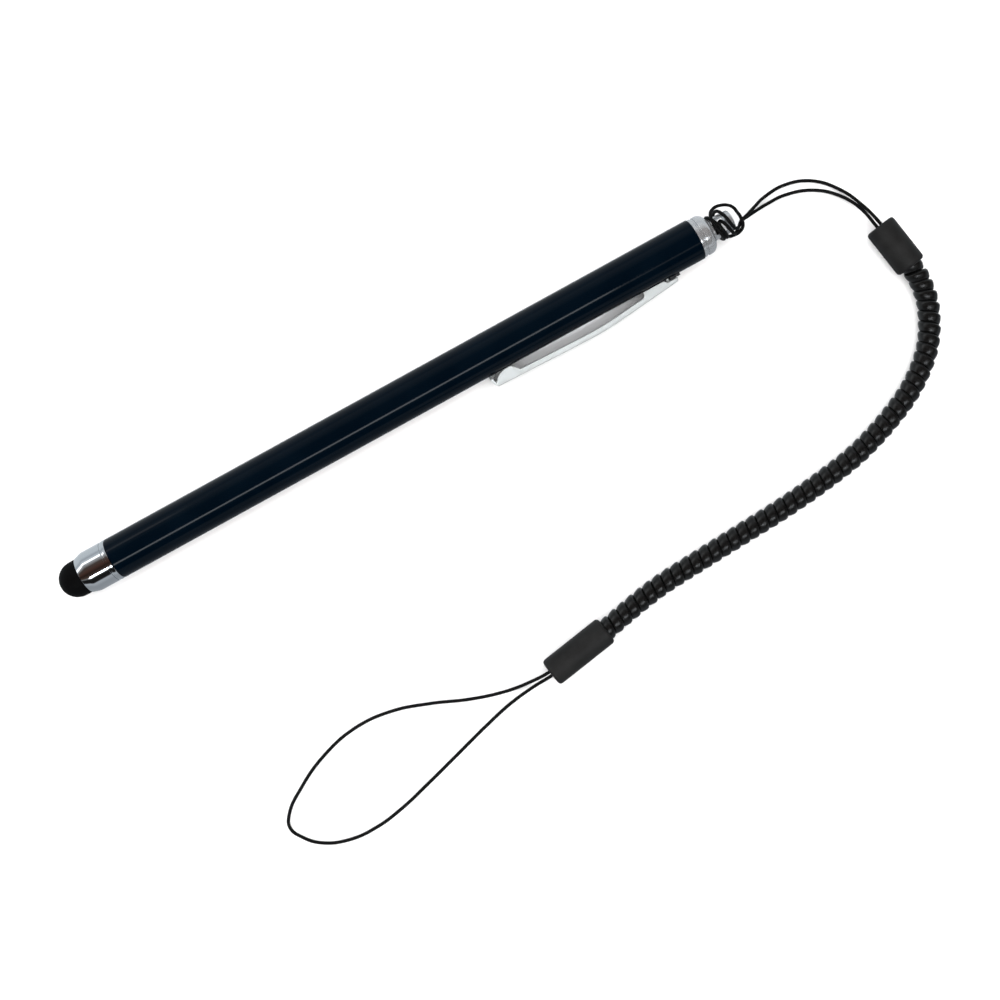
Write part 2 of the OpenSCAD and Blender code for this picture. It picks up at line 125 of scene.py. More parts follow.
studio = bpy.data.worlds.new("studio")
bpy.context.scene.world = studio
studio.use_nodes = True
air = studio.node_tree
room = air.nodes.new("ShaderNodeTexCoord")
room_split = air.nodes.new("ShaderNodeSeparateXYZ")
around = air.nodes.new("ShaderNodeMath")
around.operation = "ARCTAN2"
walls_to = 100
half_turn = air.nodes.new("ShaderNodeMapRange")
half_turn.inputs["From Min"].default_value = math.radians(-walls_to)
half_turn.inputs["From Max"].default_value = math.radians(walls_to)
room_ramp = air.nodes.new("ShaderNodeValToRGB")
air.links.new(room.outputs["Generated"], room_split.inputs["Vector"])
air.links.new(room_split.outputs["Y"], around.inputs[0])
air.links.new(room_split.outputs["Z"], around.inputs[1])
air.links.new(around.outputs["Value"], half_turn.inputs["Value"])
air.links.new(half_turn.outputs["Result"], room_ramp.inputs["Fac"])
walls = [(-100, (0.42, 0.45, 0.48)), (-76, (0.6, 0.64, 0.68)), (-70, (0.02, 0.02, 0.02)),
         (-45, (0.01, 0.01, 0.01)), (-38, (0.3, 0.3, 0.3)), (-30, (0.1, 0.065, 0.05)),
         (-12, (0.03, 0.018, 0.014)), (4, (0.09, 0.045, 0.034)), (24, (0.1, 0.075, 0.065)),
         (40, (0.5, 0.5, 0.5)), (62, (0.85, 0.9, 0.93)), (74, (0.5, 0.55, 0.6)), (92, (0.8, 0.86, 0.9))]
ramp_stops = room_ramp.color_ramp.elements
for stop, (angle, colour) in enumerate(walls):
    place = (angle + walls_to) / (2 * walls_to)
    element = ramp_stops[stop] if stop < 2 else ramp_stops.new(place)
    element.position = place
    element.color = (*colour, 1)
air.links.new(room_ramp.outputs["Color"], air.nodes["Background"].inputs["Color"])


# --- Thin cords ----------------------------------------------------------------------------------
# The two end loops are fine braided nylon cord, 0.65 mm thick and fairly stiff. The top one is
# passed through the post's eye and round itself; the other is left open for the device.
def material(name, rough, specular=0.5, metal=0.0):
    """New material with a plain Principled shader, and its tree and shader."""
    made = bpy.data.materials.new(name)
    made.use_nodes = True
    shader = made.node_tree.nodes["Principled BSDF"]
    shader.inputs["Roughness"].default_value = rough
    shader.inputs["Specular IOR Level"].default_value = specular
    shader.inputs["Metallic"].default_value = metal
    return made, made.node_tree, shader


def braid_material(name, plaits, rounds):
    """Black braid: plaits is how many rows cross the cord's length, rounds how many go round it."""
    made, tree, shader = material(name, 0.55, 0.12)
    surface = tree.nodes.new("ShaderNodeTexCoord")
    heights = []
    for lean in (-1, 1):
        shear = tree.nodes.new("ShaderNodeMapping")
        shear.inputs["Scale"].default_value = (plaits, rounds * lean, 1)
        wave = tree.nodes.new("ShaderNodeTexWave")
        wave.bands_direction = "DIAGONAL"
        wave.inputs["Scale"].default_value = 0.5
        tree.links.new(surface.outputs["UV"], shear.inputs["Vector"])
        tree.links.new(shear.outputs["Vector"], wave.inputs["Vector"])
        heights.append(wave.outputs["Fac"])
    weave = tree.nodes.new("ShaderNodeMath")
    weave.operation = "MAXIMUM"
    tree.links.new(heights[0], weave.inputs[0])
    tree.links.new(heights[1], weave.inputs[1])
    tint = tree.nodes.new("ShaderNodeValToRGB")
    tint.color_ramp.elements[0].color = (0.0005, 0.0005, 0.0005, 1)
    tint.color_ramp.elements[1].color = (0.0025, 0.0025, 0.0026, 1)
    tree.links.new(weave.outputs["Value"], tint.inputs["Fac"])
    tree.links.new(tint.outputs["Color"], shader.inputs["Base Color"])
    bump = tree.nodes.new("ShaderNodeBump")
    bump.inputs["Strength"].default_value = 0.6
    bump.inputs["Distance"].default_value = 0.00004
    tree.links.new(weave.outputs["Value"], bump.inputs["Height"])
    tree.links.new(bump.outputs["Normal"], shader.inputs["Normal"])
    return made


def thin_cord(name, points, diameter, made):
    """One smooth cord through the points, which are in millimetres."""
    line = bpy.data.curves.new(name, "CURVE")
    line.dimensions = "3D"
    line.bevel_depth = diameter / 2000
    line.bevel_resolution = 4
    line.use_fill_caps = True
    spline = line.splines.new("BEZIER")
    spline.resolution_u = 10
    spline.bezier_points.add(len(points) - 1)
    for knot, point in zip(spline.bezier_points, points):
        knot.co = Vector(point) / 1000
        knot.handle_left_type = "AUTO"
        knot.handle_right_type = "AUTO"
    line.materials.append(made)
    piece = bpy.data.objects.new(name, line)
    bpy.context.scene.collection.objects.link(piece)
    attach(piece, "pen")
    return piece


thin_d = 0.65
braid_pitch = 0.55
hitch_at = Vector((65.5, 1.5, 4))
hitch = [
    (7.3, -1.1, 0), (6.3, -1.9, 0.7), (5.4, -2, 1.7), (4.9, -1.1, 2.4), (4.6, 0.3, 2.6),
    (4.3, 1.6, 2.1), (4, 2.5, 1), (3.6, 2.65, -0.4), (3.3, 1.9, -1.9), (3, 0.6, -2.6),
    (3.32, -1.34, -2.12), (3.57, -2.46, -0.56), (3.39, -2.14, 1.32), (2.84, -0.58, 2.44),
    (2.19, 1.3, 2.12), (1.77, 2.42, 0.56), (1.78, 2.1, -1.32), (2.17, 0.54, -2.44),
    (2.65, -1.34, -2.12), (2.9, -2.46, -0.56), (2.72, -2.14, 1.32), (2.17, -0.58, 2.44),
    (1.95, 1.1, 2.65), (2.4, 2.5, 2), (3.2, 3.15, 1.1), (4.2, 3.4, 0.6), (5.2, 3.25, 0.35),
    (6.2, 2.8, 0.3), (7, 2, 0.35), (7.3, 0.6, 0.6), (7.3, -0.9, 0.95), (7.1, -2.1, 0.4),
    (6.2, -2.75, -0.3), (4.9, -2.7, -0.9), (4.3, -2.2, -2.2), (4.1, -0.8, -2.75),
    (3.9, 0.4, -1.8), (3.8, 0.4, 1.2), (4, -0.8, 2.3), (4.4, -2, 1.8), (5.1, -2.6, 0.5),
    (6.3, -2, -0.1), (7.3, -1.2, -0.8)]
upper_strand = [
    (96.1, -14.7, 2.9), (95.7, -12.5, 2.9), (94.7, -8, 2.1), (92.7, -3, 0.7), (89, 0.9, 0.4),
    (84.1, 2.7, 0.4), (79.6, 2.5, 0.8), (76, 1.4, 2.6), (74.2, 0.8, 3.5)]
lower_strand = [
    (74.9, 0.7, 2.2), (76.5, 0.9, 1.5), (79.5, 1.1, 0.8), (83.2, 1, 0.4), (88.6, -0.9, 0.4),
    (92.3, -4.3, 0.8), (94.2, -8.2, 1.7), (94.85, -12.7, 2.8), (95.2, -14.8, 2.9)]
top_route = upper_strand + [hitch_at + Vector(point) for point in hitch] + lower_strand
top_l = 138
top_loop = thin_cord(
    "top_loop_cord", top_route, thin_d, braid_material("top_braid", top_l / braid_pitch, 4))
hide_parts("top_loop")

device_route = [
    (2.9, -55.9, 2.75), (0.9, -56.3, 2.75), (-3, -56.4, 1.5), (-7.9, -55.9, 0.4),
    (-14.8, -53.9, 0.35), (-21.8, -51, 0.35), (-29.1, -48.7, 0.35), (-36.6, -48.2, 0.35),
    (-44.1, -49.9, 0.35), (-50.9, -53.2, 0.35), (-55.4, -56.6, 0.35), (-56.4, -58.8, 0.35),
    (-55.2, -61.5, 0.35), (-52.5, -64.2, 0.35), (-47.6, -66.2, 0.35), (-41.9, -66.6, 0.35),
    (-36.2, -65.8, 0.35), (-28.9, -63.9, 0.35), (-21.6, -61.8, 0.35), (-14.3, -59.7, 0.35),
    (-8.8, -58.3, 0.8), (-3.1, -57.4, 2.1), (1.1, -57.1, 2.75), (3.1, -56.8, 2.75)]
device_l = 129
device_loop = thin_cord(
    "device_loop_cord", device_route, thin_d,
    braid_material("device_braid", device_l / braid_pitch, 4))
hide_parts("device_loop")


# --- Curly cord ----------------------------------------------------------------------------------
# A plastic-coated lead, wound close on a mandrel and set with heat, so that it springs back.
# Its helix is worked out round its axis, which bends from one sleeve to the other on the table.
def smooth_line(points, steps):
    """Catmull-Rom line through the points, with that many steps between each pair."""
    ends = [2 * points[0] - points[1], *points, 2 * points[-1] - points[-2]]
    line = []
    for a, b, c, d in zip(ends, ends[1:], ends[2:], ends[3:]):
        for i in range(steps):
            t = i / steps
            line.append(0.5 * (2 * b + (c - a) * t + (2 * a - 5 * b + 4 * c - d) * t * t
                               + (3 * b - a - 3 * c + d) * t ** 3))
    return line + [points[-1]]


def helix_line(points, radius, pitch, per_turn):
    """Points of a helix round a bent axis, and which way the axis runs at each of them."""
    axis = smooth_line([Vector(point) for point in points], 60)
    side = (axis[1] - axis[0]).cross(Vector((0, 0, 1))).normalized()
    step = pitch / per_turn
    line = []
    ways = []
    run = 0.0
    for here, there in zip(axis, axis[1:]):
        ahead = there - here
        reach = run + ahead.length
        ahead.normalize()
        side = (side - side.dot(ahead) * ahead).normalized()
        while len(line) * step < reach:
            angle = -2 * math.pi * len(line) / per_turn
            spot = here + ahead * (len(line) * step - run)
            across = math.cos(angle) * side + math.sin(angle) * ahead.cross(side)
            line.append(spot + radius * across)
            ways.append(ahead)
        run = reach
    return line, ways


section_sides = 16
section_power = 0.75


def flat_section(name, width, depth):
    """Outline of a lead that is pressed flat: a rounded oblong, its width on X."""
    outline = bpy.data.curves.new(name, "CURVE")
    ring = outline.splines.new("POLY")
    ring.points.add(section_sides - 1)
    for i, knot in enumerate(ring.points):
        c = math.cos(2 * math.pi * i / section_sides)
        s = math.sin(2 * math.pi * i / section_sides)
        knot.co = (math.copysign(abs(c) ** section_power, c) * width / 2000,
                   math.copysign(abs(s) ** section_power, s) * depth / 2000, 0, 1)
    ring.use_cyclic_u = True
    return bpy.data.objects.new(name, outline)


def lay_flat(piece, ways):
    """Turns the section of a curve's one spline so that its width follows ways all along it.
    The curve carries its section along without a twist, and wide is carried in the same way."""
    knots = piece.data.splines[0].points
    spots = [knot.co.to_3d() for knot in knots]
    steps = [(b - a).normalized() for a, b in zip(spots, spots[1:])]
    heads = [steps[0], *[(a + b).normalized() for a, b in zip(steps, steps[1:])], steps[-1]]
    skin = piece.evaluated_get(bpy.context.evaluated_depsgraph_get()).to_mesh()
    first_ring = skin.vertices[:section_sides]
    wide = max((corner.co - spots[0] for corner in first_ring), key=lambda to: to.length)
    before = heads[0]
    for knot, head, way in zip(knots, heads, ways):
        wide = before.rotation_difference(head) @ wide
        target = way - way.dot(head) * head
        knot.tilt = math.atan2(head.dot(wide.cross(target)), wide.dot(target))
        before = head


coil_d = 4.1
wire_w = 2.1
wire_d = 1.3
coil_pitch = 2.08
turn_points = 24
coil_route = [
    (96.5, -19.9, 2.9), (96.9, -22.4, 2.9), (97.2, -26, 2.3), (96.2, -30.8, 2.05),
    (92.6, -37, 2.05), (86.9, -41.9, 2.05), (80.2, -45.3, 2.05), (71.6, -48.2, 2.05),
    (62.8, -49.7, 2.05), (53.8, -50.6, 2.05), (44.8, -51.1, 2.05), (35.8, -51.6, 2.05),
    (26.8, -52.2, 2.05), (19.5, -53.4, 2.15), (14, -54.5, 2.75), (11.5, -54.9, 2.75)]
helix, coil_ways = helix_line(coil_route, (coil_d - wire_d) / 2, coil_pitch, turn_points)

lead = bpy.data.curves.new("curly_lead", "CURVE")
lead.dimensions = "3D"
lead.bevel_mode = "OBJECT"
lead.bevel_object = flat_section("lead_section", wire_w, wire_d)
lead.use_fill_caps = True
turns = lead.splines.new("POLY")
turns.points.add(len(helix) - 1)
for knot, point in zip(turns.points, helix):
    knot.co = (*(point / 1000), 1)
turns.use_smooth = True

curly_black, tree, shader = material("curly_black", 0.3, 0.3)
surface = tree.nodes.new("ShaderNodeTexCoord")
drawn = tree.nodes.new("ShaderNodeMapping")
drawn.inputs["Scale"].default_value = (300, 5, 1)
streaks = tree.nodes.new("ShaderNodeTexNoise")
streaks.inputs["Scale"].default_value = 3
streaks.inputs["Detail"].default_value = 4
tree.links.new(surface.outputs["UV"], drawn.inputs["Vector"])
tree.links.new(drawn.outputs["Vector"], streaks.inputs["Vector"])
tint = tree.nodes.new("ShaderNodeValToRGB")
tint.color_ramp.elements[0].position = 0.3
tint.color_ramp.elements[0].color = (0.0012, 0.0012, 0.0012, 1)
tint.color_ramp.elements[1].position = 0.7
tint.color_ramp.elements[1].color = (0.004, 0.004, 0.004, 1)
tree.links.new(streaks.outputs["Fac"], tint.inputs["Fac"])
tree.links.new(tint.outputs["Color"], shader.inputs["Base Color"])
bump = tree.nodes.new("ShaderNodeBump")
bump.inputs["Strength"].default_value = 0.25
bump.inputs["Distance"].default_value = 0.00003
tree.links.new(streaks.outputs["Fac"], bump.inputs["Height"])
tree.links.new(bump.outputs["Normal"], shader.inputs["Normal"])
lead.materials.append(curly_black)

curly_cord = bpy.data.objects.new("curly_cord", lead)
bpy.context.scene.collection.objects.link(curly_cord)
lay_flat(curly_cord, coil_ways)
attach(curly_cord, "pen")
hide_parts("coil_cord")


# --- Sleeves -------------------------------------------------------------------------------------
# Moulded matt rubber sleeves, each pushed over a crimp that holds a thin cord's two ends to the
# curly cord. Their ends are rounded, and a fine parting line runs along both sides.
def grain_group():
    """Fine grain and broad blotches of a moulded surface: a colour, a roughness and a height."""
    group = bpy.data.node_groups.new("moulded_grain", "ShaderNodeTree")
    sockets = group.interface
    sockets.new_socket("Dark", in_out="INPUT", socket_type="NodeSocketColor")
    sockets.new_socket("Light", in_out="INPUT", socket_type="NodeSocketColor")
    sockets.new_socket("Fine Scale", in_out="INPUT", socket_type="NodeSocketFloat")
    sockets.new_socket("Broad Scale", in_out="INPUT", socket_type="NodeSocketFloat")
    sockets.new_socket("Smooth", in_out="INPUT", socket_type="NodeSocketFloat")
    sockets.new_socket("Rough", in_out="INPUT", socket_type="NodeSocketFloat")
    sockets.new_socket("Colour", in_out="OUTPUT", socket_type="NodeSocketColor")
    sockets.new_socket("Roughness", in_out="OUTPUT", socket_type="NodeSocketFloat")
    sockets.new_socket("Height", in_out="OUTPUT", socket_type="NodeSocketFloat")
    given = group.nodes.new("NodeGroupInput")
    result = group.nodes.new("NodeGroupOutput")
    place = group.nodes.new("ShaderNodeTexCoord")
    fine = group.nodes.new("ShaderNodeTexNoise")
    fine.inputs["Detail"].default_value = 3
    broad = group.nodes.new("ShaderNodeTexNoise")
    broad.inputs["Detail"].default_value = 5
    for noise, size in ((fine, "Fine Scale"), (broad, "Broad Scale")):
        group.links.new(place.outputs["Object"], noise.inputs["Vector"])
        group.links.new(given.outputs[size], noise.inputs["Scale"])
    blotch = group.nodes.new("ShaderNodeMath")
    blotch.operation = "MULTIPLY_ADD"
    blotch.inputs[1].default_value = 0.45
    group.links.new(fine.outputs["Fac"], blotch.inputs[0])
    group.links.new(broad.outputs["Fac"], blotch.inputs[2])
    tone = group.nodes.new("ShaderNodeMapRange")
    tone.inputs["From Min"].default_value = 0.5
    tone.inputs["From Max"].default_value = 0.95
    group.links.new(blotch.outputs["Value"], tone.inputs["Value"])
    colour = group.nodes.new("ShaderNodeMix")
    colour.data_type = "RGBA"
    group.links.new(tone.outputs["Result"], colour.inputs[0])
    group.links.new(given.outputs["Dark"], colour.inputs[6])
    group.links.new(given.outputs["Light"], colour.inputs[7])
    rough = group.nodes.new("ShaderNodeMapRange")
    group.links.new(tone.outputs["Result"], rough.inputs["Value"])
    group.links.new(given.outputs["Smooth"], rough.inputs["To Min"])
    group.links.new(given.outputs["Rough"], rough.inputs["To Max"])
    group.links.new(colour.outputs[2], result.inputs["Colour"])
    group.links.new(rough.outputs["Result"], result.inputs["Roughness"])
    group.links.new(fine.outputs["Fac"], result.inputs["Height"])
    return group


moulded_grain = grain_group()


def moulded_material(name, dark, light, smooth, rough, specular, fine=5000, broad=300, depth=0.02):
    """Moulded rubber or plastic; depth is the height of its grain, in millimetres."""
    made, tree, shader = material(name, rough, specular)
    grain = tree.nodes.new("ShaderNodeGroup")
    grain.node_tree = moulded_grain
    grain.inputs["Dark"].default_value = (*dark, 1)
    grain.inputs["Light"].default_value = (*light, 1)
    grain.inputs["Fine Scale"].default_value = fine
    grain.inputs["Broad Scale"].default_value = broad
    grain.inputs["Smooth"].default_value = smooth
    grain.inputs["Rough"].default_value = rough
    bump = tree.nodes.new("ShaderNodeBump")
    bump.inputs["Strength"].default_value = 0.5
    bump.inputs["Distance"].default_value = depth / 1000
    tree.links.new(grain.outputs["Colour"], shader.inputs["Base Color"])
    tree.links.new(grain.outputs["Roughness"], shader.inputs["Roughness"])
    tree.links.new(grain.outputs["Height"], bump.inputs["Height"])
    tree.links.new(bump.outputs["Normal"], shader.inputs["Normal"])
    return made


def spun(outline, segments=96, turn=0.0):
    """Solid of revolution on X, in millimetres. outline is (x, radius, rounding) round its section,
    and turn is the angle from Y towards Z where the spin starts."""
    bm = bmesh.new()
    start = Vector((0, math.cos(turn), math.sin(turn)))
    corners = [(bm.verts.new(Vector((x, 0, 0)) + start * radius), radius, rounding)
               for x, radius, rounding in outline]
    for here, there in zip(corners, corners[1:] + corners[:1]):
        if here[1] or there[1]:
            bm.edges.new((here[0], there[0]))
    for size in sorted({rounding for _, _, rounding in corners if rounding}):
        bmesh.ops.bevel(
            bm, geom=[corner for corner, _, rounding in corners if rounding == size], offset=size,
            offset_type="OFFSET", segments=3, profile=0.5, affect="VERTICES", material=-1)
    bmesh.ops.spin(
        bm, geom=[*bm.verts, *bm.edges], cent=(0, 0, 0), axis=(1, 0, 0), dvec=(0, 0, 0),
        angle=2 * math.pi, steps=segments, use_merge=True, use_duplicate=False)
    bmesh.ops.remove_doubles(bm, verts=bm.verts, dist=0.0005)
    return bm


def finished(name, bm, placed, made, body, slot, *nodes):
    """Makes a smooth piece that rides on body from a bmesh, which is in millimetres."""
    bmesh.ops.transform(bm, matrix=Matrix.Scale(0.001, 4) @ placed, verts=bm.verts)
    bmesh.ops.recalc_face_normals(bm, faces=bm.faces)
    for face in bm.faces:
        face.smooth = True
    for edge in bm.edges:
        edge.smooth = not edge.is_manifold or edge.calc_face_angle() < math.radians(38)
    mesh = bpy.data.meshes.new(name)
    bm.to_mesh(mesh)
    bm.free()
    mesh.materials.append(made)
    piece = bpy.data.objects.new(name, mesh)
    bpy.context.scene.collection.objects.link(piece)
    flats = piece.modifiers.new("flats", "WEIGHTED_NORMAL")
    flats.keep_sharp = True
    flats.weight = 100
    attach(piece, body)
    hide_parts(*nodes)
    return piece


def aimed(start, end):
    """Matrix that lays what stands on +X from the origin along the line from start to end."""
    turn = (end - start).to_track_quat("X", "Z").to_matrix().to_4x4()
    return Matrix.Translation(start) @ turn


sleeve_black = moulded_material(
    "sleeve_black", (0.005, 0.005, 0.005), (0.011, 0.011, 0.011), 0.5, 0.62, 0.15)
thin_entry = 2
coil_entry = 2.5
crimp_r = 1.6
sleeve_mouth_r = thin_d + 0.45
sleeve_edge = 0.6
parting_h = 0.04


def sleeve(name, start, end, diameter, node):
    """Rubber sleeve from its thin cord's end to its curly cord's end."""
    start = Vector(start)
    end = Vector(end)
    length = (end - start).length
    radius = diameter / 2
    bm = spun([
        (0, sleeve_mouth_r, 0.1), (0, radius, sleeve_edge), (length, radius, sleeve_edge),
        (length, coil_d / 2, 0.05), (length - coil_entry, coil_d / 2, 0),
        (length - coil_entry, crimp_r, 0), (thin_entry, crimp_r, 0),
        (thin_entry, sleeve_mouth_r, 0)], turn=math.radians(30))
    ridge = [spot for spot in bm.verts
             if abs(spot.co.z) < 0.01 and abs(spot.co.y) > radius - parting_h / 2]
    bmesh.ops.scale(bm, vec=(1, 1 + parting_h / radius, 1), verts=ridge)
    return finished(name, bm, aimed(start, end), sleeve_black, "pen", "sleeve_rubber", node)


upper_sleeve = sleeve(
    "upper_sleeve_rubber", (95.3, -12.8, 2.9), (96.9, -22.4, 2.9), 5.8, "upper_sleeve")
lower_sleeve = sleeve(
    "lower_sleeve_rubber", (1, -56.7, 2.75), (14, -54.5, 2.75), 5.5, "lower_sleeve")


# --- Crimps and washer ---------------------------------------------------------------------------
# Plain steel crimps in the sleeves and a steel washer in the cap, cut from bar and left as turned.
def marks_group():
    """Smudges and fine scratches of a handled surface: a roughness, a mask and a height."""
    group = bpy.data.node_groups.new("handling_marks", "ShaderNodeTree")
    sockets = group.interface
    sockets.new_socket("Clean", in_out="INPUT", socket_type="NodeSocketFloat")
    sockets.new_socket("Smudged", in_out="INPUT", socket_type="NodeSocketFloat")
    sockets.new_socket("Scratch Scale", in_out="INPUT", socket_type="NodeSocketFloat")
    sockets.new_socket("Roughness", in_out="OUTPUT", socket_type="NodeSocketFloat")
    sockets.new_socket("Mark", in_out="OUTPUT", socket_type="NodeSocketFloat")
    sockets.new_socket("Height", in_out="OUTPUT", socket_type="NodeSocketFloat")
    given = group.nodes.new("NodeGroupInput")
    result = group.nodes.new("NodeGroupOutput")
    place = group.nodes.new("ShaderNodeTexCoord")
    smudge = group.nodes.new("ShaderNodeTexNoise")
    smudge.inputs["Scale"].default_value = 120
    smudge.inputs["Detail"].default_value = 6
    group.links.new(place.outputs["Object"], smudge.inputs["Vector"])
    drawn = group.nodes.new("ShaderNodeMapping")
    drawn.inputs["Scale"].default_value = (0.06, 1, 1)
    group.links.new(place.outputs["Object"], drawn.inputs["Vector"])
    scratch = group.nodes.new("ShaderNodeTexNoise")
    scratch.inputs["Detail"].default_value = 2
    group.links.new(drawn.outputs["Vector"], scratch.inputs["Vector"])
    group.links.new(given.outputs["Scratch Scale"], scratch.inputs["Scale"])
    mark = group.nodes.new("ShaderNodeMapRange")
    mark.inputs["From Min"].default_value = 0.4
    mark.inputs["From Max"].default_value = 0.75
    group.links.new(smudge.outputs["Fac"], mark.inputs["Value"])
    rough = group.nodes.new("ShaderNodeMapRange")
    group.links.new(mark.outputs["Result"], rough.inputs["Value"])
    group.links.new(given.outputs["Clean"], rough.inputs["To Min"])
    group.links.new(given.outputs["Smudged"], rough.inputs["To Max"])
    group.links.new(rough.outputs["Result"], result.inputs["Roughness"])
    group.links.new(mark.outputs["Result"], result.inputs["Mark"])
    group.links.new(scratch.outputs["Fac"], result.inputs["Height"])
    return group


handling_marks = marks_group()


def metal_material(name, colour, clean, smudged, metal=1.0):
    """Bare or plated metal with fine scratches; with metal under 1 it mirrors less."""
    made, tree, shader = material(name, smudged, metal=metal)
    shader.inputs["Base Color"].default_value = (*colour, 1)
    marks = tree.nodes.new("ShaderNodeGroup")
    marks.node_tree = handling_marks
    marks.inputs["Clean"].default_value = clean
    marks.inputs["Smudged"].default_value = smudged
    marks.inputs["Scratch Scale"].default_value = 4000
    bump = tree.nodes.new("ShaderNodeBump")
    bump.inputs["Strength"].default_value = 0.3
    bump.inputs["Distance"].default_value = 0.000001
    tree.links.new(marks.outputs["Roughness"], shader.inputs["Roughness"])
    tree.links.new(marks.outputs["Height"], bump.inputs["Height"])
    tree.links.new(bump.outputs["Normal"], shader.inputs["Normal"])
    return made


def refinish(node, made):
    """Gives a CAD node its material."""
    mesh = frame["nodes"][node].data
    mesh.materials.clear()
    mesh.materials.append(made)


turned_steel = metal_material("turned_steel", (0.5, 0.51, 0.53), 0.25, 0.4)
for node in ("upper_crimp", "lower_crimp", "post_washer"):
    refinish(node, turned_steel)


# --- Barrel --------------------------------------------------------------------------------------
# Thin aluminium tube in gloss blue-black lacquer. A slot near its rear end takes the clip's leg,
# and both ends are lightly broken so that the ferrule and the trim ring sit flush.
pen_joint = next(joint for joint in frame["joints"] if joint["name"] == "tip_turn")
clip_joint = next(joint for joint in frame["joints"] if joint["name"] == "clip_flex")
on_pen = Matrix.Translation((0, pen_joint["pos_m"][1] * 1000, pen_joint["pos_m"][2] * 1000))
clip_across = Vector(clip_joint["axis"])
clip_out = Vector((1, 0, 0)).cross(clip_across)
clip_turn = math.atan2(clip_out.z, clip_out.y)


def reach(node):
    """Lowest and highest X of a CAD node, in millimetres."""
    low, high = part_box(node)
    return low.x * 1000, high.x * 1000


barrel_r = (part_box("barrel")[1].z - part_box("barrel")[0].z) * 500
barrel_from, barrel_to = reach("barrel")
clip_from, clip_to = reach("clip")
barrel_wall = 0.5
leg_x = clip_to - 2
slot_from = leg_x - 0.45
slot_to = leg_x + 1.75
slot_steps = 13
barrel_steps = 126
slot_half = math.pi * slot_steps / barrel_steps

lacquer, tree, shader = material("blue_black_lacquer", 0.14, 0.08)
marks = tree.nodes.new("ShaderNodeGroup")
marks.node_tree = handling_marks
marks.inputs["Clean"].default_value = 0.08
marks.inputs["Smudged"].default_value = 0.12
marks.inputs["Scratch Scale"].default_value = 2500
tint = tree.nodes.new("ShaderNodeValToRGB")
tint.color_ramp.elements[0].color = (0.0002, 0.002, 0.0046, 1)
tint.color_ramp.elements[1].color = (0.0005, 0.0028, 0.006, 1)
bump = tree.nodes.new("ShaderNodeBump")
bump.inputs["Strength"].default_value = 0.05
bump.inputs["Distance"].default_value = 0.000002
tree.links.new(marks.outputs["Mark"], tint.inputs["Fac"])
tree.links.new(tint.outputs["Color"], shader.inputs["Base Color"])
tree.links.new(marks.outputs["Roughness"], shader.inputs["Roughness"])
tree.links.new(marks.outputs["Height"], bump.inputs["Height"])
tree.links.new(bump.outputs["Normal"], shader.inputs["Normal"])

bm = spun([(barrel_from, barrel_r - barrel_wall, 0), (barrel_from, barrel_r, 0.1),
           (barrel_to, barrel_r, 0.1), (barrel_to, barrel_r - barrel_wall, 0)],
          barrel_steps, clip_turn + slot_half)
for x in (slot_from, slot_to):
    bmesh.ops.bisect_plane(bm, geom=[*bm.verts, *bm.edges, *bm.faces], dist=0.0001,
                           plane_co=(x, 0, 0), plane_no=(1, 0, 0))


def in_slot(face):
    """Is this face of the tube's walls where the slot goes?"""
    middle = face.calc_center_median()
    out = Vector((0, middle.y, middle.z))
    return slot_from < middle.x < slot_to and out.angle(clip_out) < slot_half


bmesh.ops.delete(bm, geom=[face for face in bm.faces if in_slot(face)], context="FACES")
bmesh.ops.bridge_loops(bm, edges=[edge for edge in bm.edges if edge.is_boundary])
finished("barrel_tube", bm, on_pen, lacquer, "pen", "lacquer", "barrel")


# --- Nose ----------------------------------------------------------------------------------------
# The nose unscrews to change the tip. A hollow dome of soft conductive rubber is pushed on a brass
# core and gripped by its skirt in the plated ferrule; the core's thread goes in the barrel's bush.
dome_black = moulded_material(
    "dome_black", (0.0007, 0.0007, 0.0008), (0.0014, 0.0014, 0.0016), 0.6, 0.7, 0.06,
    fine=7000, broad=400, depth=0.006)
chrome = metal_material("chrome", (0.54, 0.56, 0.58), 0.05, 0.1)
brass = metal_material("brass", (0.55, 0.4, 0.16), 0.2, 0.32)

dome_from, skirt_to = reach("rubber_tip")
mouth, ferrule_to = reach("tip_ferrule")
dome_r = 3.45
skirt_r = 2.95
inner_r = skirt_r - 0.8
dome_middle = dome_from + dome_r


def quarter(radius, first, last, steps):
    """Round outline about the dome's middle, between two angles from its tip, in degrees."""
    angles = [math.radians(first + (last - first) * i / steps) for i in range(steps + 1)]
    return [(dome_middle - radius * math.cos(a), abs(radius * math.sin(a)), 0) for a in angles]


bm = spun([*quarter(dome_r, 0, 90, 24),
           (mouth - 0.05, dome_r, 0.12), (mouth - 0.05, skirt_r, 0), (skirt_to, skirt_r, 0.1),
           (skirt_to, inner_r, 0.1), *quarter(inner_r, 90, 0, 12)])
finished("rubber_dome", bm, on_pen, dome_black, "nose", "dome_rubber", "rubber_tip")

core_r = 3.1
chamfer_l = 1.5
chamfer_r = 3.55
groove_from = ferrule_to - 1.1
groove_to = ferrule_to - 0.75
groove_r = barrel_r - 0.2
bm = spun([(mouth, skirt_r, 0.05), (mouth, chamfer_r, 0.12), (mouth + chamfer_l, barrel_r, 0.3),
           (groove_from, barrel_r, 0.04), (groove_from, groove_r, 0.03),
           (groove_to, groove_r, 0.03), (groove_to, barrel_r, 0.04),
           (ferrule_to, barrel_r, 0.25), (ferrule_to, core_r, 0.05),
           (skirt_to, core_r, 0), (skirt_to, skirt_r, 0)], 128)
finished("chrome_ferrule", bm, on_pen, chrome, "nose", "chrome", "tip_ferrule")

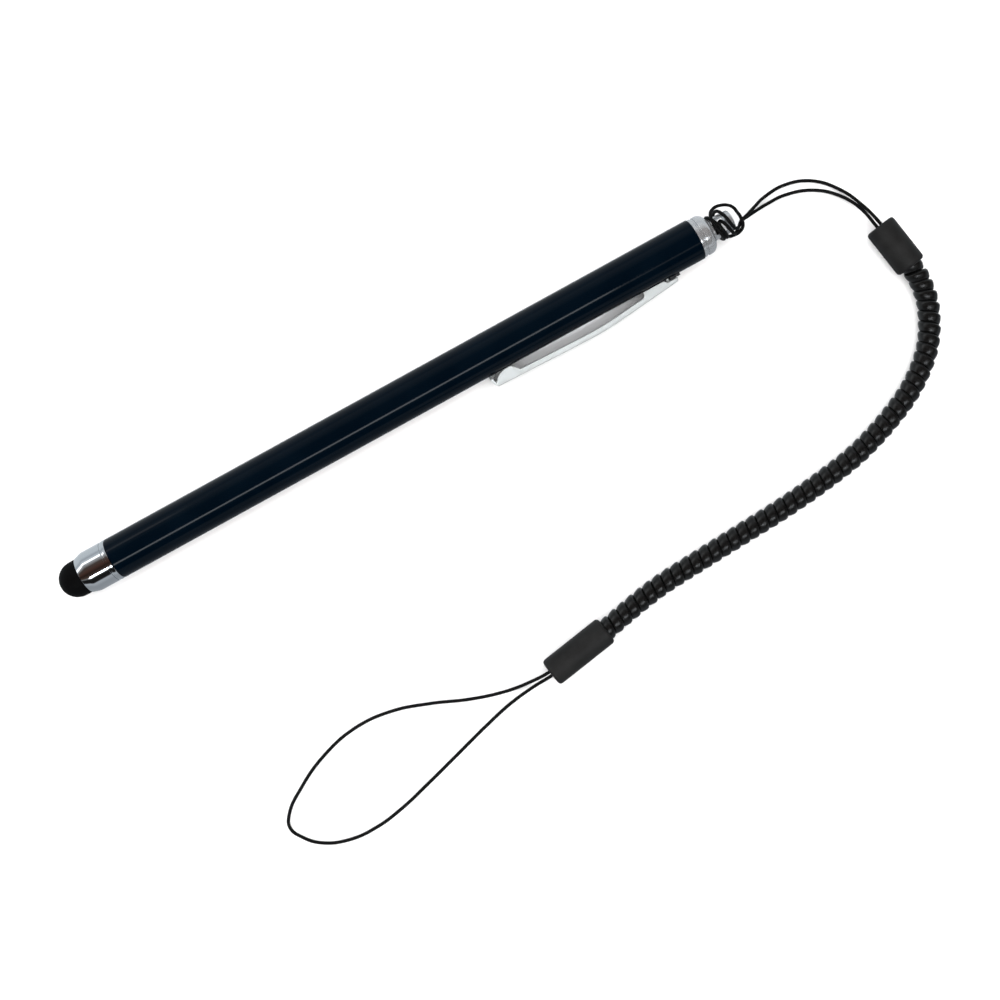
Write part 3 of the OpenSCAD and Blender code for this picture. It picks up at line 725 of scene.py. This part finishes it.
pin_r = 1.2
plug_from = skirt_to - 0.6
thread_r = 2.4
thread_root_r = 2.05
thread_pitch = 0.8
thread_steps = 48
pin_from, spigot_to = reach("tip_carrier")
thread_from = ferrule_to + 0.65
bm = spun([(pin_from, 0, 0), (pin_from, pin_r, 0.15), (plug_from, pin_r, 0.1),
           (plug_from, inner_r, 0.1), (skirt_to, inner_r, 0), (skirt_to, core_r, 0),
           (ferrule_to, core_r, 0.1), (ferrule_to, thread_r, 0.05),
           (thread_from, thread_r, 0.05), (thread_from, thread_root_r, 0.05),
           (spigot_to, thread_root_r, 0.3), (spigot_to, 0, 0)])
thread_turns = int((spigot_to - thread_from) / thread_pitch) - 1
flank = [bm.verts.new((thread_from + x, y, 0))
         for x, y in ((0.02, thread_root_r - 0.08), (0.32, thread_r), (0.42, thread_r),
                      (0.72, thread_root_r - 0.08))]
ridge = [bm.edges.new(pair) for pair in zip(flank, flank[1:] + flank[:1])]
bmesh.ops.spin(bm, geom=[*flank, *ridge], cent=(0, 0, 0), axis=(1, 0, 0),
               dvec=(thread_pitch / thread_steps, 0, 0), angle=2 * math.pi * thread_turns,
               steps=thread_steps * thread_turns, use_merge=False, use_duplicate=False)
bmesh.ops.holes_fill(bm, edges=[edge for edge in bm.edges if edge.is_boundary], sides=4)
finished("nose_screw", bm, on_pen, brass, "nose", "brass", "tip_carrier")


# --- Bushes, seal and wedge ----------------------------------------------------------------------
# A turned metal bush in the barrel's front end and a plastic plug in its rear end are pressed in.
# A thin rubber washer seals the nose, and a plastic wedge fills the slot behind the clip's leg.
refinish("front_bush", metal_material("bush_metal", (0.6, 0.61, 0.62), 0.25, 0.38))
refinish("tip_seal", moulded_material(
    "seal_black", (0.008, 0.008, 0.008), (0.014, 0.014, 0.014), 0.45, 0.6, 0.35))
plug_plastic = moulded_material(
    "plug_plastic", (0.003, 0.003, 0.0035), (0.006, 0.006, 0.007), 0.35, 0.5, 0.35)
refinish("top_bush", plug_plastic)
refinish("clip_wedge", plug_plastic)
broken = frame["nodes"]["clip_wedge"].modifiers.new("broken_edges", "BEVEL")
broken.width = 0.00008
broken.segments = 2


# --- Trim ring, cap and post ---------------------------------------------------------------------
# Plated turned parts: a flush ring on the barrel's end, then a stepped cap with a round shoulder.
# The post is riveted through the cap, and a slot is milled through it for the tether.
satin_chrome = metal_material("satin_chrome", (0.46, 0.47, 0.48), 0.2, 0.3, metal=0.75)
ring_from, ring_to = reach("cap_ring")
cap_from, cap_to = reach("end_cap")
post_from, post_to = reach("tether_post")
cap_r = barrel_r - 0.15
cap_spigot_r = 2.5
shank_r = 1.3
bm = spun([(ring_from, cap_spigot_r, 0), (ring_from, cap_r, 0.15), (ring_to, cap_r, 0.2),
           (ring_to, cap_spigot_r, 0)], 128)
finished("trim_ring", bm, on_pen, satin_chrome, "pen", "chrome", "cap_ring")

rim_from = ring_to + 0.3
shoulder_l = 1.6
post_r = 2.1
cap_groove_r = cap_r - 0.25
shoulder = [(cap_to - shoulder_l + shoulder_l * math.sin(math.radians(a)),
             post_r + (cap_r - post_r) * math.cos(math.radians(a)), 0) for a in range(0, 91, 9)]
bm = spun([(cap_from, shank_r, 0), (cap_from, cap_spigot_r, 0.2), (ring_to, cap_spigot_r, 0),
           (ring_to, cap_groove_r, 0), (rim_from, cap_groove_r, 0), (rim_from, cap_r, 0.15),
           *shoulder, (cap_to, shank_r, 0)], 128)
finished("stepped_cap", bm, on_pen, satin_chrome, "pen", "chrome", "end_cap")

eye_from = cap_to + 0.45
eye_to = eye_from + 2.9
eye_half = 1.4
bm = spun([(post_from, 0, 0), (post_from, shank_r, 0.1), (cap_to, shank_r, 0), (cap_to, post_r, 0),
           (post_to, post_r, 0.45), (post_to, 0, 0)], 48)
for place, way in (((eye_from, 0, 0), (1, 0, 0)), ((eye_to, 0, 0), (1, 0, 0)),
                   ((0, eye_half, 0), (0, 1, 0)), ((0, -eye_half, 0), (0, 1, 0))):
    bmesh.ops.bisect_plane(bm, geom=[*bm.verts, *bm.edges, *bm.faces], dist=0.0001,
                           plane_co=place, plane_no=way)


def in_eye(face):
    """Is this face on the post's side, where the eye opens?"""
    middle = face.calc_center_median()
    return (eye_from < middle.x < eye_to and abs(middle.y) < eye_half
            and math.hypot(middle.y, middle.z) > shank_r)


bmesh.ops.delete(bm, geom=[face for face in bm.faces if in_eye(face)], context="FACES")
lips = [edge for edge in bm.edges if edge.is_boundary]
bmesh.ops.bridge_loops(bm, edges=lips)
bmesh.ops.bevel(bm, geom=lips, offset=0.08, offset_type="OFFSET", segments=2, profile=0.5,
                affect="EDGES", clamp_overlap=True, material=-1)
finished("tether_stud", bm, on_pen, satin_chrome, "pen", "chrome", "tether_post")


# --- Clip ----------------------------------------------------------------------------------------
# One pressing of plated spring steel: a channel with one side cut low, an ear and a curled end
# that rides over cloth. Its leg goes through the barrel's slot and its foot hooks inside.
on_clip = on_pen @ Matrix((
    (1, 0, 0, 0), (0, clip_out.y, clip_across.y, 0), (0, clip_out.z, clip_across.z, 0),
    (0, 0, 0, 1)))
clip_half = 1.9
clip_t = 0.45
back_high = barrel_r + 2.7
bend_x = clip_to - 16.7
bend_soft = 1.5
rise_slope = 0.029
fall_slope = 0.108
root_round = 0.4


def back_plain(x):
    """The back before it is set to its height: it rises, bends softly and falls to its root."""
    soft = math.log(1 + math.exp((x - bend_x) / bend_soft))
    return rise_slope * (x - bend_x) - (rise_slope + fall_slope) * bend_soft * soft


back_peak = back_plain(bend_x + bend_soft * math.log(rise_slope / fall_slope))


def rounding(along, size):
    """How far a quarter round of that size has dropped after that distance along it."""
    return size - math.sqrt(max(0, size ** 2 - min(size, max(0, along)) ** 2))


def back_at(x):
    """Height of the clip's back over the barrel's axis."""
    return back_high + back_plain(x) - back_peak - rounding(x - clip_to + root_round, root_round)


ear_from = clip_from + 0.9
ear_l = 6.6
ear_r = barrel_r - 0.35
ear_power = 2.2
heel_r = barrel_r + 0.3
root_from = clip_to - 7
rim_depth = 1.1
clear_r = barrel_r + 0.15
root_fillet = 0.8


def wall_depth(x, side):
    """How far a side wall comes down from the back; on side 1 it is cut low past the ear."""
    if x >= root_from:
        return back_at(x) - (0 if x < leg_x else heel_r)
    along = min(1, 2 * (x - ear_from) / ear_l - 1)
    ear = (back_at(x) - ear_r) * (
        max(0, 1 - max(0, -along) ** ear_power) ** (1 / ear_power) if along < 0
        else (1 + math.cos(math.pi * along)) / 2)
    if side < 0 and along > 0:
        ear = back_at(x)
    return max(rim_depth + rounding(x - root_from + root_fillet, root_fillet), ear)


corner_r = 0.28
inner_corner_r = 0.05
edge_r = 0.1


def bend_points(middle_w, middle_drop, radius, first, last):
    """Points of a rounded corner of the section, as (across, drop below the back)."""
    angles = [math.radians(first + (last - first) * i / 4) for i in range(5)]
    return [(middle_w + radius * math.sin(a), middle_drop - radius * math.cos(a)) for a in angles]


def section(x):
    """Closed section of the channel at x, as points of (x, height, across)."""
    inside = clip_half - clip_t
    halves = []
    for side in (1, -1):
        depth = wall_depth(x, side)
        halves.append([
            *bend_points(clip_half - corner_r, corner_r, corner_r, 0, 90),
            *bend_points(clip_half - edge_r, depth - edge_r, edge_r, 90, 180),
            *bend_points(inside + edge_r, depth - edge_r, edge_r, 180, 270),
            *bend_points(inside - inner_corner_r, clip_t + inner_corner_r, inner_corner_r, 90, 0)])
    whole = halves[0] + [(-w, drop) for w, drop in reversed(halves[1])]
    return [(x, max(back_at(x) - drop, math.sqrt(clear_r ** 2 - w ** 2)), w) for w, drop in whole]


def spaced(first, last, count):
    """Evenly spaced stations, without the last one."""
    return [first + (last - first) * i / count for i in range(count)]


ear_stations = [ear_from + ear_l * (1 - math.cos(math.pi * i / 40)) / 2 for i in range(41)]
stations = [*ear_stations, *spaced(ear_from + ear_l + 0.3, bend_x - 5, 14),
            *spaced(bend_x - 5, bend_x + 5, 24), *spaced(bend_x + 5, root_from - root_fillet, 4),
            *spaced(root_from - root_fillet, root_from - 0.3, 6),
            *spaced(root_from - 0.3, root_from, 8), root_from + 0.001,
            *spaced(root_from + 0.3, leg_x, 6), leg_x, leg_x + 0.3,
            *spaced(leg_x + 0.6, clip_to - root_round, 3),
            *[clip_to - root_round * math.cos(math.radians(a)) for a in range(0, 91, 15)]]
# Faces inside the channel take the second material: painted light, a lighter and duller copy of the
# plating that shows grey through the window instead of mirroring the dark barrel.
channel_inside = range(15, 26)
bm = bmesh.new()
loops = [[bm.verts.new(point) for point in section(x)] for x in stations]
for here, there in zip(loops, loops[1:]):
    for i in range(len(here)):
        wall = bm.faces.new((here[i - 1], here[i], there[i], there[i - 1]))
        wall.material_index = 1 if i in channel_inside else 0
bm.faces.new(loops[0])
bm.faces.new(loops[-1])


def sheet_strip(line, thickness, width):
    """Adds a bent strip of sheet to the clip: line is its middle line as (x, height)."""
    spots = [Vector((x, height, 0)) for x, height in line]
    rows = []
    for i, spot in enumerate(spots):
        ahead = (spots[min(i + 1, len(spots) - 1)] - spots[max(i - 1, 0)]).normalized()
        out = Vector((-ahead.y, ahead.x, 0)) * thickness / 2
        e = edge_r
        rows.append([bm.verts.new(spot + out * o + Vector((0, 0, w))) for o, w in (
            (1, -width / 2 + e), (1, width / 2 - e), (1 - e, width / 2), (-1 + e, width / 2),
            (-1, width / 2 - e), (-1, -width / 2 + e), (-1 + e, -width / 2), (1 - e, -width / 2))])
    for here, there in zip(rows, rows[1:]):
        for i in range(8):
            bm.faces.new((here[i - 1], here[i], there[i], there[i - 1]))
    bm.faces.new(rows[0])
    bm.faces.new(rows[-1])


free_back = back_at(clip_from)
curl = smooth_line([Vector(point) for point in (
    (clip_from + 1.5, free_back - 0.22, 0), (clip_from + 1, free_back - 0.3, 0),
    (clip_from + 0.6, free_back - 0.75, 0), (clip_from + 0.4, free_back - 1.6, 0),
    (clip_from + 0.3, barrel_r + 0.25, 0))], 6)
sheet_strip([(spot.x, spot.y) for spot in curl], clip_t, 2 * clip_half - 0.1)
foot_r = barrel_r - barrel_wall - 0.5
sheet_strip([
    (leg_x + clip_t / 2, back_at(leg_x) - 0.3), (leg_x + clip_t / 2, foot_r + 0.15),
    (leg_x + 0.12, foot_r - 0.1), (leg_x - 0.1, foot_r - clip_t / 2),
    (leg_x - 1.6, foot_r - clip_t / 2)], clip_t, 2)

bright_plating = metal_material("bright_plating", (0.36, 0.38, 0.38), 0.3, 0.4, metal=0.12)
# Painted reflection: the inner faces get a lighter, duller copy of the plating than the outside, to
# stand in for the grey light seen inside the channel.
painted_reflection_plating = metal_material("painted_reflection_plating", (0.6, 0.61, 0.62), 0.3, 0.45, metal=0.15)
pressed_clip = finished("pressed_clip", bm, on_clip, bright_plating, "clip", "chrome", "clip")
pressed_clip.data.materials.append(painted_reflection_plating)
